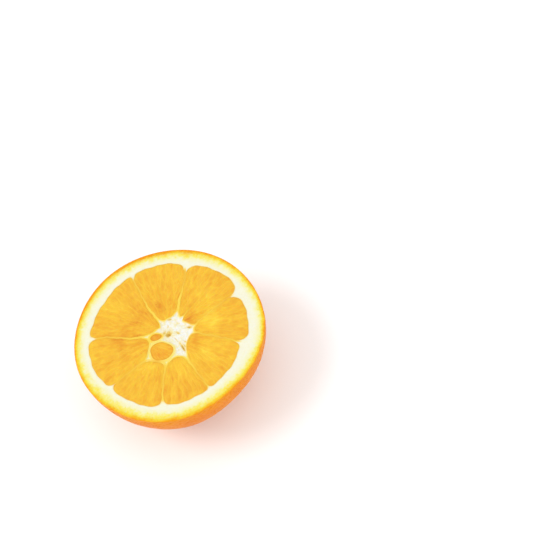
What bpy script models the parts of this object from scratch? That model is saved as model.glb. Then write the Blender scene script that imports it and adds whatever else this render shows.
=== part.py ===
"""Half of a navel orange, cut across its middle and lying cut face up.

Metres, +Z up.  The half stands on a small flat spot round its stem button,
with the origin in the middle of its box at that level.  The cut face carries
eight juicy segments and a thin ninth one, two small segments of the secondary
fruit, the thin walls between them and a sunken spongy core.
"""
import math

import bmesh
import bpy
from mathutils import Matrix, Vector

MM = 0.001

# ---- whole half ------------------------------------------------------------
RIM_RADIUS = 41.2            # mean radius of the peel's edge at the cut, mm
RIM_WAVES = (                # unevenness of that edge: lobes, size mm, phase deg
    (2, 0.70, 17.0),
    (3, 0.29, -32.0),
    (4, 0.18, -85.0),
    (5, 0.20, -170.0),
)
DEPTH = 39.5                 # cut plane down to the untrimmed pole, mm
FOOT_TRIM = 0.42             # how much of the pole is flat, mm
LUMP = 0.22                  # slow lumps of the peel below the cut, mm
SIDES = 80                   # facets round the peel
RINGS = 44                   # rings pole to pole of the whole ball

# ---- stem button on the underside ------------------------------------------
BUTTON_RADIUS = 2.7          # mm, level with the flat spot
GROOVE_WIDTH = 1.3           # ring groove that sets the button off, mm

# ---- walls between the segments: inner radius, angle; outer radius, angle ---
WALLS = (
    (6.9, 98.0, 32.4, 97.0),
    (10.3, 46.0, 31.9, 54.0),
    (11.4, -9.0, 32.0, 7.0),
    (11.0, -25.0, 31.8, -35.0),
    (14.0, -79.0, 31.6, -79.4),
    (13.8, -115.0, 32.3, -116.7),
    (14.6, -152.0, 33.4, -159.2),
    (10.2, 161.5, 33.9, 156.7),
)
WALL_HALF = 0.22             # half thickness of a wall, mm
# each segment's outer radius at its first and second wall and how much more between
# them, the dip of its inner end and the rounding of its outer corners
SEGMENTS = (
    (33.8, 33.6, 0.3, 1.7, 4.5),  # between wall 0 and wall 1, and so on round
    (32.9, 35.6, 1.1, 2.3, 4.8),
    (33.7, 34.4, 0.8, 0.0, 5.0),
    (32.3, 32.5, 0.3, 2.9, 4.0),
    (32.7, 33.8, 0.2, 1.7, 3.6),
    (34.4, 34.0, 0.3, 0.2, 4.0),
    (35.5, 34.9, 0.2, 3.1, 5.0),
    (35.1, 34.3, -1.1, 3.2, 3.6),
)
SLIVER = (27.0, 1.7)         # short ninth wall: its angle, its notch in the inner end
CROWN = 0.42                 # how far a segment stands above the pith, mm
CROWN_ROOT = 1.6             # how deep its crown is rooted in the half, mm

# ---- the secondary fruit's two small segments: centre, radii, turn ----------
NAVEL = (
    (-5.85, -6.45, 4.75, 4.50, -14.0),
    (-5.60, 0.78, 2.60, 1.60, -10.0),
)

# ---- spongy core ------------------------------------------------------------
CORE_CENTRE = (3.0, -1.6)
CORE_MARGIN = 0.75           # pale rim left between core and segments, mm
CORE_DEPTH = 0.7
PITS = (                     # x, y, radius along, radius across, turn, depth
    (0.0, 0.1, 1.15, 0.95, 20.0, 2.2),
    (2.9, -9.2, 1.9, 0.42, -82.0, 1.3),
    (4.3, -1.3, 0.8, 0.5, -20.0, 1.0),
)


# ---- outline functions (all in mm, seen from above) ------------------------
def rim_radius(angle):
    """Radius of the peel's edge at an angle in radians."""
    return RIM_RADIUS + sum(size * math.cos(n * angle - math.radians(phase))
                            for n, size, phase in RIM_WAVES)


def rim_middle():
    """Middle of the box round the rim, which becomes the origin."""
    pts = [(rim_radius(a) * math.cos(a), rim_radius(a) * math.sin(a))
           for a in (math.tau * i / SIDES for i in range(SIDES))]
    return (0.5 * (max(p[0] for p in pts) + min(p[0] for p in pts)),
            0.5 * (max(p[1] for p in pts) + min(p[1] for p in pts)))


def polar(radius, degrees):
    a = math.radians(degrees)
    return Vector((radius * math.cos(a), radius * math.sin(a)))


def smooth_min(a, b, k):
    """The smaller of two distances, with the corner between them rounded."""
    h = max(k - abs(a - b), 0.0) / k
    return min(a, b) - 0.25 * k * h * h


def side_of_line(p, start, end):
    """Signed distance from the line start-end, positive on its left."""
    d = (end - start).normalized()
    q = p - start
    return d.x * q.y - d.y * q.x


def segment_depth(p, index):
    """How far a point is inside a segment, negative outside it."""
    wall_a = WALLS[index]
    wall_b = WALLS[(index + 1) % len(WALLS)]
    outer_a, outer_b, bulge, dip, corner = SEGMENTS[index]
    right = side_of_line(p, polar(wall_a[0], wall_a[1]), polar(wall_a[2], wall_a[3]))
    left = side_of_line(p, polar(wall_b[0], wall_b[1]), polar(wall_b[2], wall_b[3]))
    sides = smooth_min(-right - WALL_HALF, left - WALL_HALF, 1.2)
    span = (wall_a[1] - wall_b[1]) % 360.0
    angle = math.degrees(math.atan2(p.y, p.x))
    turn = (wall_a[1] - angle + 60.0) % 360.0 - 60.0
    t = min(max(turn / span, 0.0), 1.0)
    inner = wall_a[0] + (wall_b[0] - wall_a[0]) * t - dip * (1.0 - abs(2.0 * t - 1.0) ** 2.6)
    if index == 1:
        # a short wall notches this inner end and sets off a thin ninth segment
        inner += SLIVER[1] * math.exp(-((wall_a[1] - turn - SLIVER[0]) / 4.5) ** 2)
    u = ((wall_a[3] - angle + 60.0) % 360.0 - 60.0) / ((wall_a[3] - wall_b[3]) % 360.0)
    u = min(max(u, 0.0), 1.0)
    outer = outer_a + (outer_b - outer_a) * u + bulge * 4.0 * u * (1.0 - u)
    body = smooth_min(sides, p.length - inner - 0.25, 2.2)
    return smooth_min(body, outer - p.length, corner)


def ellipse_gap(p, blob):
    """Rough distance outside a small round segment, negative inside it."""
    x, y, ra, rb, turn = blob
    q = p - Vector((x, y))
    c, s = math.cos(math.radians(-turn)), math.sin(math.radians(-turn))
    u, v = (c * q.x - s * q.y) / ra, (s * q.x + c * q.y) / rb
    k = math.hypot(u, v)
    return (k - 1.0) * min(ra, rb)


def core_depth(p):
    """How far a point is inside the white core."""
    d = 16.0 - p.length
    for index in range(len(SEGMENTS)):
        d = min(d, -segment_depth(p, index) - CORE_MARGIN)
    for blob in NAVEL:
        d = min(d, ellipse_gap(p, blob) - CORE_MARGIN)
    return d


def outline(depth_at, centre, sides, reach):
    """Edge of a region round its centre: the radius towards each side."""
    out = []
    for i in range(sides):
        a = math.tau * i / sides
        step = Vector((math.cos(a), math.sin(a)))
        low, r = 0.0, 0.0
        while r < reach and depth_at(centre + step * r) > 0.0:
            low, r = r, r + 0.25
        high = r
        for _ in range(24):
            mid = 0.5 * (low + high)
            if depth_at(centre + step * mid) > 0.0:
                low = mid
            else:
                high = mid
        out.append(low)
    return out


# ---- mesh helpers -----------------------------------------------------------
def collection(name):
    made = bpy.data.collections.new(name)
    bpy.context.scene.collection.children.link(made)
    return made


def add_object(name, bm, where):
    bmesh.ops.recalc_face_normals(bm, faces=bm.faces[:])
    mesh = bpy.data.meshes.new(name)
    bm.to_mesh(mesh)
    bm.free()
    obj = bpy.data.objects.new(name, mesh)
    where.objects.link(obj)
    return obj


def guide(obj):
    obj.hide_render = True
    obj.display_type = 'WIRE'
    return obj


def pebble(bm, centre, radii, level, crown, root, rings, power):
    """A flat-topped pebble with a given outline: crown above, root below."""
    sides = len(radii)
    made = bmesh.ops.create_uvsphere(bm, u_segments=sides, v_segments=rings, radius=1.0)
    for vert in made["verts"]:
        x, y, z = vert.co
        rho = min(math.hypot(x, y), 1.0)
        i = round(math.atan2(y, x) / math.tau * sides) % sides
        a = math.tau * i / sides
        reach = radii[i] * rho
        if z >= -1e-6:
            height = level - 0.12 + (crown + 0.12) * (1.0 - rho ** power)
        else:
            height = level - 0.12 - root * (1.0 - rho ** power)
        vert.co = ((centre[0] + reach * math.cos(a)) * MM,
                   (centre[1] + reach * math.sin(a)) * MM, height * MM)


def boolean(obj, operation, cutter):
    mod = obj.modifiers.new(cutter.name, 'BOOLEAN')
    mod.operation = operation
    mod.solver = 'EXACT'
    mod.object = cutter


def principled(name, colour, roughness):
    mat = bpy.data.materials.new(name)
    mat.use_nodes = True
    shader = mat.node_tree.nodes["Principled BSDF"]
    shader.inputs["Base Color"].default_value = (*colour, 1.0)
    shader.inputs["Roughness"].default_value = roughness
    shader.inputs["Metallic"].default_value = 0.0
    return mat


# ---- build ------------------------------------------------------------------
def peel_ball(where):
    """The lower half of an uneven ball, trimmed at the cut and at the foot."""
    bm = bmesh.new()
    bmesh.ops.create_uvsphere(bm, u_segments=SIDES, v_segments=RINGS, radius=1.0)
    for vert in bm.verts:
        x, y, z = vert.co
        a = math.atan2(y, x)
        s = math.hypot(x, y)
        below = max(-z, 0.0)
        lump = LUMP * s * below * (math.sin(3.0 * a + 4.0 * z + 0.7)
                                   + 0.8 * math.sin(5.0 * a - 5.0 * z + 2.1)
                                   + 0.5 * math.sin(8.0 * a + 7.0 * z + 4.0))
        r = rim_radius(a) * s + lump
        vert.co = (r * math.cos(a) * MM, r * math.sin(a) * MM,
                   (DEPTH * (1.0 + z) - FOOT_TRIM) * MM)
    for height, clear_above in ((FACE, True), (0.0, False)):
        geom = bm.verts[:] + bm.edges[:] + bm.faces[:]
        cut = bmesh.ops.bisect_plane(bm, geom=geom, dist=1e-6,
                                     plane_co=(0.0, 0.0, height * MM),
                                     plane_no=(0.0, 0.0, 1.0),
                                     clear_outer=clear_above,
                                     clear_inner=not clear_above)
        edges = [e for e in cut["geom_cut"] if isinstance(e, bmesh.types.BMEdge)]
        bmesh.ops.contextual_create(bm, geom=edges)
    return add_object("orange_half", bm, where)


for old in list(bpy.data.objects):
    bpy.data.objects.remove(old, do_unlink=True)

FACE = DEPTH - FOOT_TRIM     # height of the pith on the cut face
part = collection("orange_half")
cutters = collection("cutters")

half = peel_ball(part)

# the core lies a little lower than the pith and is pitted
bm = bmesh.new()
centre = Vector(CORE_CENTRE)
pebble(bm, centre, outline(core_depth, centre, 56, 16.0),
       FACE + 0.9, 0.6, 0.9 + CORE_DEPTH, 10, 14.0)
core = guide(add_object("core_cut", bm, cutters))
boolean(half, 'DIFFERENCE', core)

bm = bmesh.new()
for x, y, along, across, turn, depth in PITS:
    radii = []
    for i in range(14):
        a = math.tau * i / 14 - math.radians(turn)
        radii.append(1.0 / math.hypot(math.cos(a) / along, math.sin(a) / across))
    pebble(bm, (x, y), radii, FACE + 0.5, 0.5, 0.5 + depth, 8, 2.5)
pits = guide(add_object("pit_cut", bm, cutters))
boolean(half, 'DIFFERENCE', pits)

# crowned segments
bm = bmesh.new()
for index in range(len(SEGMENTS)):
    wall_a, wall_b = WALLS[index], WALLS[(index + 1) % len(WALLS)]
    middle = 0.5 * (polar(1.0, wall_a[1]) + polar(1.0, wall_b[1])).normalized() \
        + 0.5 * (polar(1.0, wall_a[3]) + polar(1.0, wall_b[3])).normalized()
    centre = middle.normalized() * 23.0
    radii = outline(lambda p: segment_depth(p, index), centre, 40, 26.0)
    pebble(bm, centre, radii, FACE, CROWN, CROWN_ROOT, 12, 14.0)
for x, y, ra, rb, turn in NAVEL:
    radii = [1.0 / math.hypot(math.cos(math.tau * i / 24 - math.radians(turn)) / ra,
                              math.sin(math.tau * i / 24 - math.radians(turn)) / rb)
             for i in range(24)]
    pebble(bm, (x, y), radii, FACE, CROWN * 0.8, CROWN_ROOT, 10, 10.0)
crowns = guide(add_object("segment_crowns", bm, cutters))
boolean(half, 'UNION', crowns)

# ring groove round the stem button
bm = bmesh.new()
bmesh.ops.create_circle(bm, segments=14, radius=0.5 * GROOVE_WIDTH * MM)
bmesh.ops.rotate(bm, verts=bm.verts[:], cent=(0, 0, 0),
                 matrix=Matrix.Rotation(math.pi / 2, 3, 'X'))
bmesh.ops.translate(bm, verts=bm.verts[:],
                    vec=((BUTTON_RADIUS + 0.5 * GROOVE_WIDTH) * MM, 0.0, 0.0))
bmesh.ops.spin(bm, geom=bm.verts[:] + bm.edges[:], cent=(0, 0, 0), axis=(0, 0, 1),
               angle=math.tau, steps=36, use_merge=True)
groove = guide(add_object("button_groove", bm, cutters))
boolean(half, 'DIFFERENCE', groove)

# origin in the middle of the box
mx, my = rim_middle()
for obj in (half, core, pits, crowns, groove):
    obj.data.transform(Matrix.Translation((-mx * MM, -my * MM, 0.0)))

half.data.materials.append(principled("orange_peel", (0.86, 0.30, 0.035), 0.42))
half.data.shade_smooth()
half.data.set_sharp_from_angle(angle=math.radians(35.0))
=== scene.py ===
"""Looks of the orange half: pebbled peel, pith, juicy segments, walls and core.

Lengths in the outline functions are millimetres in the half's own plan, before
the small shift that puts the origin in the middle of its box.
"""
import math

import bpy
import numpy as np
from mathutils import Matrix, Vector
from mathutils.geometry import delaunay_2d_cdt
from mathutils.kdtree import KDTree


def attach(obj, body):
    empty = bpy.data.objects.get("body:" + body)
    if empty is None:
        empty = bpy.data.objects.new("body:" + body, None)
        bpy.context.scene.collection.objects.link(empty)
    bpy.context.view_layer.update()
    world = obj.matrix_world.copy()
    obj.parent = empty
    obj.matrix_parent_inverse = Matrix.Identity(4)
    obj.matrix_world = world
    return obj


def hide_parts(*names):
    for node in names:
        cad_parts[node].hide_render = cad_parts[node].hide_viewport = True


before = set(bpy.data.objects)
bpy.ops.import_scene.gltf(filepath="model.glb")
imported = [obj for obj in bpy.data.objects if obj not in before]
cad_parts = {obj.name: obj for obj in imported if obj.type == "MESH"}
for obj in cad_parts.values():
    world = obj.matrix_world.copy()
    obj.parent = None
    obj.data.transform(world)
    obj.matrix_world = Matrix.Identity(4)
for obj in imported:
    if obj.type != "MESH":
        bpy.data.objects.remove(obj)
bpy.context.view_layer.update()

MM = 0.001
TAU = math.tau

# ---------------------------------------------------------------- sizes (mm)
RIM_RADIUS = 41.2
RIM_WAVES = ((2, 0.70, 17.0), (3, 0.29, -32.0), (4, 0.18, -85.0), (5, 0.20, -170.0))
DEPTH = 39.5
FOOT_TRIM = 0.42
LUMP = 0.22
SIDES = 80
FACE = DEPTH - FOOT_TRIM
CROWN = 0.42
BUTTON_RADIUS = 2.7
GROOVE_WIDTH = 1.3

WALLS = (
    (6.9, 98.0, 32.4, 97.0),
    (10.3, 46.0, 31.9, 54.0),
    (11.4, -9.0, 32.0, 7.0),
    (11.0, -25.0, 31.8, -35.0),
    (14.0, -79.0, 31.6, -79.4),
    (13.8, -115.0, 32.3, -116.7),
    (14.6, -152.0, 33.4, -159.2),
    (10.2, 161.5, 33.9, 156.7),
)
# sideways bow of each wall at its middle and its S-shaped bend; how clearly it shows at
# the core, a third and two thirds of the way, and at the pith; extra half width at a
# place along it
WALL_BOW = ((1.0, 0.3), (-0.35, 0.25), (0.3, 0.0), (0.2, 0.0), (-0.2, 0.0), (-0.55, -0.1),
            (-0.1, 0.0), (-0.1, 0.5))
WALL_SHOW = (
    (1.0, 0.85, 0.20, 0.45), (0.85, 1.00, 0.05, 0.20), (0.45, 0.10, 0.00, 0.05),
    (0.45, 0.30, 0.15, 0.80), (1.0, 0.60, 0.12, 0.30), (0.90, 0.25, 0.50, 1.00),
    (0.55, 0.12, 0.00, 0.15), (0.90, 0.75, 0.45, 0.35),
)
WALL_EXTRA = ((0.06, 0.35), (0.20, 0.28), (0.0, 0.5), (0.0, 0.5), (0.06, 0.10), (0.14, 0.95),
              (0.0, 0.5), (0.0, 0.5))
# how much of the corners' rounding is left beside each wall: little where the pith
# hardly dips in
WALL_NOTCH = (0.70, 1.0, 1.0, 1.0, 0.45, 1.0, 0.58, 1.0)
WALL_HALF = 0.20
WALL_ROOT = 0.48             # extra half width where a clear wall leaves the core
# each segment's outer radius at its first and second wall and how much more between
# them, the dip of its inner end and the rounding of its outer corners
SEGMENTS = (
    (33.8, 33.6, 0.3, 1.7, 4.5),
    (32.9, 35.6, 1.1, 2.3, 4.8),
    (33.7, 34.4, 0.8, 0.0, 5.0),
    (32.3, 32.5, 0.3, 2.9, 4.0),
    (32.7, 33.8, 0.2, 1.7, 3.6),
    (34.4, 34.0, 0.3, 0.2, 4.0),
    (34.4, 34.9, 0.6, 3.1, 5.0),
    (35.1, 34.3, -1.1, 3.2, 3.6),
)
SLIVER = (27.0, 1.7)
SLIVER_WALL = (10.6, 27.0, 15.6, 28.5)
NAVEL = (
    (-5.85, -6.45, 5.05, 4.32, -27.0),
    (-5.60, 0.78, 2.60, 1.60, -10.0),
)
# brown pits and cracks of the core: x, y, along, across, turn, depth, stain
PITS = (
    (-0.1, -0.1, 1.60, 1.20, 30.0, 0.9, 1.0),
    (-1.4, 1.2, 1.3, 0.8, 50.0, 0.4, 0.55),
    (3.8, -1.4, 1.3, 0.6, -50.0, 0.30, 0.50),
    (1.9, -3.8, 1.8, 0.30, -72.0, 0.35, 0.28),
    (3.2, -9.0, 2.4, 0.55, -84.0, 0.7, 0.72),
    (4.1, -8.6, 1.9, 0.28, -80.0, 0.4, 0.25),
    (2.8, -6.6, 0.9, 0.6, -60.0, 0.3, 0.40),
    (5.1, -6.8, 0.9, 0.4, -60.0, 0.3, 0.40),
    (9.2, -1.3, 1.4, 0.6, -25.0, 0.3, 0.75),
    (3.0, 6.1, 1.0, 0.5, -20.0, 0.4, 0.55),
    (1.0, 3.4, 0.9, 0.5, 60.0, 0.3, 0.30),
    (5.6, 2.9, 0.9, 0.5, -50.0, 0.3, 0.22),
)
# where the tissue beside the larger small segment is hidden by juice: x, y, radius
VEILED = (-9.6, -10.2, 3.0)
# soft lighter (+) and deeper (-) places in the pulp: x, y, radius, amount
PATCHES = (
    (18.8, -3.2, 4.4, 0.80), (11.5, 2.4, 3.0, -0.62), (19.5, 11.5, 5.0, 0.28),
    (22.0, 5.5, 4.5, 0.26), (12.0, 12.0, 2.8, -0.32), (29.0, -13.0, 3.0, -0.12),
    (9.2, -8.5, 3.0, -0.45), (11.0, -15.8, 4.5, 0.45), (-1.0, -17.0, 4.2, 0.42),
    (-3.5, -28.0, 4.0, -0.10), (-13.3, -11.0, 3.4, 0.50), (-20.5, 6.0, 4.0, -0.48),
    (-12.0, 2.5, 3.2, -0.28), (-27.0, -2.0, 5.0, 0.10), (-8.5, 14.0, 4.2, -0.38),
    (-15.0, 10.0, 4.0, -0.24), (-18.0, 24.0, 6.0, 0.22), (2.5, 14.5, 3.6, -0.38),
    (30.5, 3.0, 2.5, -0.15), (-4.6, -4.0, 2.6, 0.75), (-7.6, -7.6, 2.6, -0.30),
    (-31.0, 5.0, 4.0, 0.15), (9.0, 31.0, 5.0, 0.20),
)
FLAVEDO = 1.5                # width of the peel's cut edge that belongs to the rind
TUCK = 0.12                  # how far the white tissue runs on under that edge


# ---------------------------------------------------------------- numpy noise
def lattice_noise(p, seed):
    """Smooth gradient noise in about -1..1 at the rows of p."""
    rng = np.random.default_rng(seed)
    perm = np.tile(rng.permutation(256), 2)
    grads = rng.normal(size=(256, 3))
    grads /= np.linalg.norm(grads, axis=1)[:, None]
    p = np.asarray(p, float)
    if p.shape[1] == 2:
        p = np.column_stack([p, np.zeros(len(p))])
    cell = np.floor(p).astype(int)
    f = p - cell
    u = f * f * f * (f * (f * 6 - 15) + 10)
    cell &= 255
    total = np.zeros(len(p))
    for dx in (0, 1):
        for dy in (0, 1):
            for dz in (0, 1):
                h = perm[perm[perm[(cell[:, 0] + dx) & 255] + ((cell[:, 1] + dy) & 255)]
                         + ((cell[:, 2] + dz) & 255)]
                g = grads[h]
                d = (g * (f - (dx, dy, dz))).sum(1)
                w = (u[:, 0] if dx else 1 - u[:, 0]) * (u[:, 1] if dy else 1 - u[:, 1]) \
                    * (u[:, 2] if dz else 1 - u[:, 2])
                total += w * d
    return total * 1.6


def layered_noise(p, size, octaves, seed, fall=0.5):
    """Noise summed over octaves; size is the largest feature's size."""
    total, gain, norm = 0.0, 1.0, 0.0
    for k in range(octaves):
        total = total + gain * lattice_noise(np.asarray(p) * (2.0 ** k / size), seed + 17 * k)
        norm += gain
        gain *= fall
    return total / norm


def smooth_step(low, high, x):
    t = np.clip((x - low) / (high - low), 0.0, 1.0)
    return t * t * (3.0 - 2.0 * t)


# ------------------------------------------------------- outlines (mm, plan)
def rim_radius(angle):
    return RIM_RADIUS + sum(size * np.cos(n * angle - math.radians(phase))
                            for n, size, phase in RIM_WAVES)


def rim_middle():
    a = TAU * np.arange(SIDES) / SIDES
    x, y = rim_radius(a) * np.cos(a), rim_radius(a) * np.sin(a)
    return 0.5 * (x.max() + x.min()), 0.5 * (y.max() + y.min())


def polar(radius, degrees):
    return np.array([radius * math.cos(math.radians(degrees)),
                     radius * math.sin(math.radians(degrees))])


def smooth_min(a, b, k):
    h = np.maximum(k - np.abs(a - b), 0.0) / k
    return np.minimum(a, b) - 0.25 * k * h * h


def side_of_wall(p, index):
    """Signed distance from a gently bowed wall, and how far along it p is."""
    r0, a0, r1, a1 = WALLS[index]
    start, end = polar(r0, a0), polar(r1, a1)
    length = np.linalg.norm(end - start)
    d = (end - start) / length
    q = p - start
    along = q @ d
    across = d[0] * q[:, 1] - d[1] * q[:, 0]
    t = np.clip(along / length, -0.15, 1.15)
    bend, skew = WALL_BOW[index]
    bow = bend * 4.0 * t * (1.0 - t) + skew * np.sin(TAU * np.clip(t, 0.0, 1.0))
    bow = bow + 0.13 * np.sin(along * 0.9 + index * 2.1) + 0.07 * np.sin(along * 2.1 + index)
    return across - bow, along / length


def wall_half(index, along):
    """Half the thickness of a wall, which thins out from the core."""
    show = WALL_SHOW[index % len(WALLS)][0]
    extra, place = WALL_EXTRA[index % len(WALLS)]
    return WALL_HALF + WALL_ROOT * show * np.exp(-np.maximum(along, 0.0) / 0.28) \
        + extra * np.exp(-((along - place) / 0.16) ** 2)


def segment_depth(p, index):
    """How far each point is inside a segment, negative outside it."""
    wall_a = WALLS[index]
    wall_b = WALLS[(index + 1) % len(WALLS)]
    outer_a, outer_b, bulge, dip, corner = SEGMENTS[index]
    right, along_a = side_of_wall(p, index)
    left, along_b = side_of_wall(p, (index + 1) % len(WALLS))
    sides = smooth_min(-right - wall_half(index, along_a),
                       left - wall_half(index + 1, along_b), 1.2)
    span = (wall_a[1] - wall_b[1]) % 360.0
    angle = np.degrees(np.arctan2(p[:, 1], p[:, 0]))
    turn = (wall_a[1] - angle + 60.0) % 360.0 - 60.0
    t = np.clip(turn / span, 0.0, 1.0)
    radius = np.hypot(p[:, 0], p[:, 1])
    inner = wall_a[0] + (wall_b[0] - wall_a[0]) * t \
        - dip * (1.0 - np.abs(2.0 * t - 1.0) ** 2.6)
    if index == 1:
        inner = inner + SLIVER[1] * np.exp(-((wall_a[1] - turn - SLIVER[0]) / 4.5) ** 2)
    inner = inner + 0.18 * np.sin(np.radians(angle) * 11.0 + index)
    span = (wall_a[3] - wall_b[3]) % 360.0
    u = np.clip(((wall_a[3] - angle + 60.0) % 360.0 - 60.0) / span, 0.0, 1.0)
    outer = outer_a + (outer_b - outer_a) * u + bulge * 4.0 * u * (1.0 - u)
    outer = outer + 0.16 * np.sin(np.radians(angle) * 17.0 + 1.7 * index) \
        + 0.10 * np.sin(np.radians(angle) * 39.0 + index)
    body = smooth_min(sides, radius - inner - 0.25, 2.2)
    notch = WALL_NOTCH[index] + (WALL_NOTCH[(index + 1) % len(WALLS)] - WALL_NOTCH[index]) \
        * smooth_step(0.25, 0.75, u)
    body = smooth_min(body, outer - radius, corner * notch)
    if index == 1:
        body = smooth_min(body, sliver_gap(p) - 0.20, 0.5)
    return body


def sliver_gap(p):
    """Distance from the short wall that sets off the thin ninth segment."""
    start, end = polar(*SLIVER_WALL[:2]), polar(*SLIVER_WALL[2:])
    d = end - start
    t = np.clip(((p - start) @ d) / (d @ d), 0.0, 1.0)
    near = start + t[:, None] * d
    return np.hypot(*(p - near).T) + 0.16 * t


def navel_depth(p, index):
    """How far each point is inside one of the secondary fruit's segments."""
    x, y, ra, rb, turn = NAVEL[index]
    q = p - np.array([x, y])
    c, s = math.cos(math.radians(-turn)), math.sin(math.radians(-turn))
    u, v = (c * q[:, 0] - s * q[:, 1]), (s * q[:, 0] + c * q[:, 1])
    angle = np.arctan2(v, u)
    lobe = 1.0 + 0.035 * np.sin(3.0 * angle + 1.0 + index) + 0.02 * np.sin(5.0 * angle + index)
    k = np.sqrt((u / ra) ** 2 + (v / rb) ** 2) / lobe
    return (1.0 - k) * min(ra, rb)


def pulp_depth(p):
    """Largest depth inside any segment: negative in pith, walls and core."""
    best = np.full(len(p), -99.0)
    for i in range(len(SEGMENTS)):
        best = np.maximum(best, segment_depth(p, i))
    for i in range(len(NAVEL)):
        best = np.maximum(best, navel_depth(p, i))
    return best


def main_depth(p):
    """Largest depth inside one of the eight main segments."""
    best = np.full(len(p), -99.0)
    for i in range(len(SEGMENTS)):
        best = np.maximum(best, segment_depth(p, i))
    return best


# -------------------------------------------------------------- mesh making
def loops_of(depth, low, high, step):
    """Closed outlines of depth == 0 on a grid, as arrays of points."""
    xs = np.arange(low[0], high[0] + step, step)
    ys = np.arange(low[1], high[1] + step, step)
    gx, gy = np.meshgrid(xs, ys)
    f = depth(np.column_stack([gx.ravel(), gy.ravel()])).reshape(gx.shape)
    inside = f > 0.0
    # points on grid edges, named by (row, column, is_vertical)
    points = {}
    rows, cols = np.nonzero(inside[:, 1:] != inside[:, :-1])
    for r, c in zip(rows, cols):
        t = f[r, c] / (f[r, c] - f[r, c + 1])
        points[(r, c, 0)] = (xs[c] + t * step, ys[r])
    rows, cols = np.nonzero(inside[1:, :] != inside[:-1, :])
    for r, c in zip(rows, cols):
        t = f[r, c] / (f[r, c] - f[r + 1, c])
        points[(r, c, 1)] = (xs[c], ys[r] + t * step)
    links = {}
    mixed = inside[:-1, :-1].astype(int) + inside[1:, :-1] + inside[:-1, 1:] + inside[1:, 1:]
    for r, c in zip(*np.nonzero((mixed > 0) & (mixed < 4))):
        around = [k for k in ((r, c, 0), (r, c + 1, 1), (r + 1, c, 0), (r, c, 1)) if k in points]
        if len(around) == 4:
            pairs = ((around[0], around[1]), (around[2], around[3])) if inside[r, c + 1] \
                else ((around[0], around[3]), (around[1], around[2]))
        else:
            pairs = ((around[0], around[1]),)
        for a, b in pairs:
            links.setdefault(a, []).append(b)
            links.setdefault(b, []).append(a)
    done, loops = set(), []
    for key in links:
        if key in done:
            continue
        chain, last, here = [], None, key
        while here not in done:
            done.add(here)
            chain.append(points[here])
            onward = [k for k in links[here] if k != last]
            last, here = here, onward[0] if onward else key
        loops.append(np.array(chain))
    return loops


def resample(loop, spacing):
    """The loop with even spacing, running anticlockwise."""
    nxt = np.roll(loop, -1, axis=0)
    if (loop[:, 0] * nxt[:, 1] - nxt[:, 0] * loop[:, 1]).sum() < 0:
        loop = loop[::-1]
    closed = np.vstack([loop, loop[:1]])
    run = np.concatenate([[0.0], np.cumsum(np.hypot(*np.diff(closed, axis=0).T))])
    count = max(8, int(round(run[-1] / spacing)))
    at = np.arange(count) * run[-1] / count
    return np.column_stack([np.interp(at, run, closed[:, 0]), np.interp(at, run, closed[:, 1])])


def settle(points, depth, level=0.0):
    """Moves points onto the line where depth equals level."""
    e = 0.01
    for _ in range(3):
        f = depth(points) - level
        gx = (depth(points + (e, 0.0)) - depth(points - (e, 0.0))) / (2 * e)
        gy = (depth(points + (0.0, e)) - depth(points - (0.0, e))) / (2 * e)
        g2 = np.maximum(gx * gx + gy * gy, 0.15)
        move = np.column_stack([f * gx / g2, f * gy / g2])
        size = np.hypot(*move.T)
        move *= np.minimum(1.0, 0.12 / np.maximum(size, 1e-9))[:, None]
        points = points - move
    return points


def hex_grid(low, high, spacing, seed):
    """Points of a triangular lattice with a little scatter."""
    xs = np.arange(low[0], high[0], spacing)
    ys = np.arange(low[1], high[1], spacing * 0.866)
    gx, gy = np.meshgrid(xs, ys)
    gx[1::2] += spacing / 2
    rng = np.random.default_rng(seed)
    p = np.column_stack([gx.ravel(), gy.ravel()])
    return p + rng.uniform(-0.16, 0.16, p.shape) * spacing


def triangulate(loops, inner, keep):
    """Triangles over a region bounded by loops. keep tells which centres are in it."""
    points = np.vstack(list(loops) + ([inner] if len(inner) else []))
    edges, start = [], 0
    for loop in loops:
        n = len(loop)
        edges += [(start + i, start + (i + 1) % n) for i in range(n)]
        start += n
    out = delaunay_2d_cdt([Vector(p) for p in points], edges, [], 0, 1e-7, False)
    verts = np.array([(v.x, v.y) for v in out[0]])
    tris = np.array([f for f in out[2] if len(f) == 3])
    a, b, c = (verts[tris[:, k]] for k in range(3))
    area = 0.5 * ((b - a)[:, 0] * (c - a)[:, 1] - (b - a)[:, 1] * (c - a)[:, 0])
    tris[area < 0] = tris[area < 0][:, ::-1]
    good = keep((a + b + c) / 3.0) & (np.abs(area) > 1e-7)
    return verts, tris[good]


def boundary_loops(tris):
    """Ordered vertex loops of a sheet's free edges, each following its triangles."""
    e = np.vstack([tris[:, [0, 1]], tris[:, [1, 2]], tris[:, [2, 0]]])
    key = e.min(1).astype(np.int64) * (int(tris.max()) + 1) + e.max(1)
    _, index, count = np.unique(key, return_index=True, return_counts=True)
    free = e[index[count == 1]]
    nxt = {}
    for a, b in free:
        nxt.setdefault(int(a), []).append(int(b))
    loops = []
    while nxt:
        first = next(iter(nxt))
        chain, here = [], first
        while here in nxt:
            chain.append(here)
            onward = nxt[here]
            to = onward.pop()
            if not onward:
                del nxt[here]
            here = to
        loops.append(chain)
    return loops


def zip_rings(a, b, ta, tb):
    """Triangles between two rings of vertex numbers with places ta, tb in 0..1."""
    na, nb, i, j, out = len(a), len(b), 0, 0, []
    while i < na or j < nb:
        next_a = ta[i + 1] if i + 1 < na else (1.0 + ta[0] if i < na else 9.0)
        next_b = tb[j + 1] if j + 1 < nb else (1.0 + tb[0] if j < nb else 9.0)
        if j >= nb or (i < na and next_a <= next_b):
            out.append((a[i % na], a[(i + 1) % na], b[j % nb]))
            i += 1
        else:
            out.append((a[i % na], b[(j + 1) % nb], b[j % nb]))
            j += 1
    return out


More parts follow.
